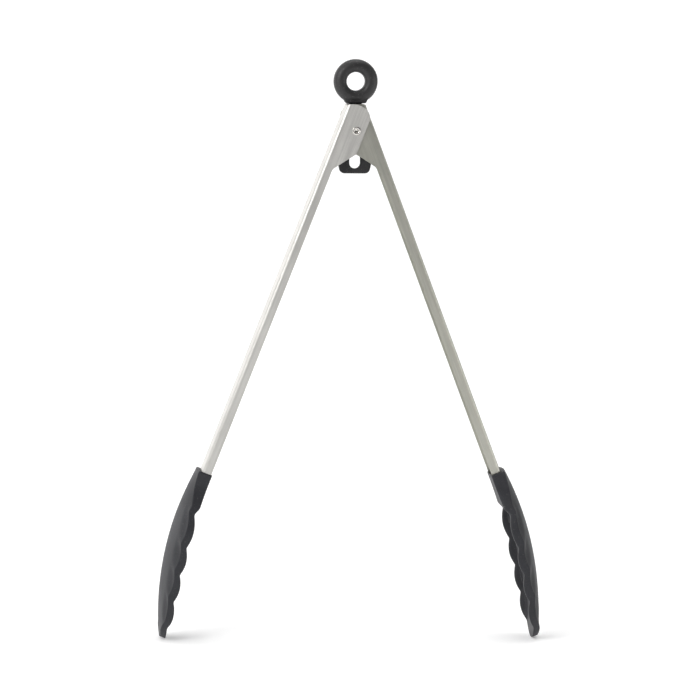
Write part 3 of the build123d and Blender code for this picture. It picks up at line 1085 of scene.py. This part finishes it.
def makeStage():
    # a pale floor that curves up into a backdrop
    low = cadBox[0].z
    d = stageDetail
    material, tree, surface, place = newMaterial("paleFloor", {
        "Roughness": 0.85, "Specular IOR Level": 0.1,
        "Emission Color": (1, 1, 1, 1), "Emission Strength": d["glow"]})
    cloud = effect(tree, "mottle", place, Scale=3.0, Low=0.985, High=1.0)["Factor"]
    tree.links.new(scaleColour(tree, d["colour"], cloud), surface.inputs["Base Color"])
    # the backdrop is clear from behind
    behind = put(tree, "ShaderNodeNewGeometry").outputs["Backfacing"]
    clear = put(tree, "ShaderNodeBsdfTransparent").outputs[0]
    shown = put(tree, "ShaderNodeMixShader", {0: behind, 1: surface.outputs[0], 2: clear}).outputs[0]
    leave = next(node for node in tree.nodes if node.type == "OUTPUT_MATERIAL")
    tree.links.new(shown, leave.inputs["Surface"])
    profile = [(-d["floorReach"], 0.0), (d["backGap"], 0.0)]
    for step in range(1, d["bendSteps"] + 1):
        angle = math.pi / 2 * step / d["bendSteps"]
        profile.append((d["backGap"] + d["bend"] * math.sin(angle), d["bend"] * (1 - math.cos(angle))))
    profile.append((d["backGap"] + d["bend"], d["height"]))
    points = [(x, y, low + z) for y, z in profile for x in (-d["floorReach"], d["floorReach"])]
    faces = [(at, at + 1, at + 3, at + 2) for at in range(0, 2 * len(profile) - 2, 2)]
    mesh = bpy.data.meshes.new("paleFloor")
    mesh.from_pydata(points, [], faces)
    mesh.shade_smooth()
    mesh.materials.append(material)
    addObject("paleFloor", mesh)


worldDetail = {"sideways": -0.55, "frontEnd": -0.9, "backEnd": 0.35, "frontLight": 0.08, "backLight": 0.76}


def makeWorld():
    # white all round to the eye, a little darker in front of the object for its reflections
    d = worldDetail
    world = bpy.data.worlds.new("softWhite")
    world.use_nodes = True
    bpy.context.scene.world = world
    tree = world.node_tree
    tree.nodes.clear()
    direction = put(tree, "ShaderNodeTexCoord").outputs["Generated"]
    parts = put(tree, "ShaderNodeSeparateXYZ", {"Vector": direction})
    side = maths(tree, "MULTIPLY_ADD", parts.outputs["X"], d["sideways"], parts.outputs["Y"])
    front = put(tree, "ShaderNodeMapRange", {
        "Value": side, "From Min": d["frontEnd"], "From Max": d["backEnd"],
        "To Min": d["frontLight"], "To Max": d["backLight"]})
    around = put(tree, "ShaderNodeBackground", {"Color": (1, 1, 1, 1), "Strength": front.outputs["Result"]})
    seen = put(tree, "ShaderNodeBackground", {"Color": (1, 1, 1, 1), "Strength": 1.0})
    eye = put(tree, "ShaderNodeLightPath").outputs["Is Camera Ray"]
    both = put(tree, "ShaderNodeMixShader", {0: eye, 1: around.outputs[0], 2: seen.outputs[0]})
    put(tree, "ShaderNodeOutputWorld", {"Surface": both.outputs[0]})


lightDetail = {
    "key": {"place": (-1.5, -1.5, 0.9), "size": 1.2, "power": 26.0},
    "fill": {"place": (1.8, -0.8, -0.1), "size": 1.0, "power": 9.0},
    "top": {"place": (0.1, 0.1, 1.9), "size": 1.4, "power": 14.0},
    "rear": {"place": (-1.1, 0.8, 0.3), "size": 0.9, "power": 3.0},
}


lightTarget = Vector((0, 0, -0.13))


def makeLights():
    for name, d in lightDetail.items():
        data = bpy.data.lights.new(name, "AREA")
        data.energy = d["power"]
        data.size = d["size"]
        lamp = addObject(name, data)
        lamp.location = d["place"]
        lamp.rotation_euler = (lightTarget - lamp.location).to_track_quat("-Z", "Y").to_euler()


cameraDetail = {
    "azimuth": -5.7, "elevation": 5.6, "roll": 0.74, "distance": 2.4,
    "target": (-0.00106, 0.0, -0.1343), "wide": 0.35, "sensor": 36,
}


def makeCamera():
    d = cameraDetail
    azimuth = math.radians(d["azimuth"])
    elevation = math.radians(d["elevation"])
    roll = math.radians(d["roll"])
    back = Vector((math.sin(azimuth) * math.cos(elevation), -math.cos(azimuth) * math.cos(elevation),
                   math.sin(elevation)))
    right = Vector((0, 0, 1)).cross(back).normalized()
    up = back.cross(right)
    rightTurned = right * math.cos(roll) + up * math.sin(roll)
    upTurned = up * math.cos(roll) - right * math.sin(roll)
    data = bpy.data.cameras.new("camera")
    data.sensor_width = d["sensor"]
    data.lens = d["sensor"] * d["distance"] / d["wide"]
    data.clip_end = 20
    camera = addObject("camera", data)
    turn = Matrix((rightTurned, upTurned, back)).transposed().to_4x4()
    camera.matrix_world = Matrix.Translation(Vector(d["target"]) + back * d["distance"]) @ turn
    bpy.context.scene.camera = camera


makeStage()
makeWorld()
makeLights()
makeCamera()
bpy.context.scene.view_settings.view_transform = "Standard"
print("stage, lights and camera made")
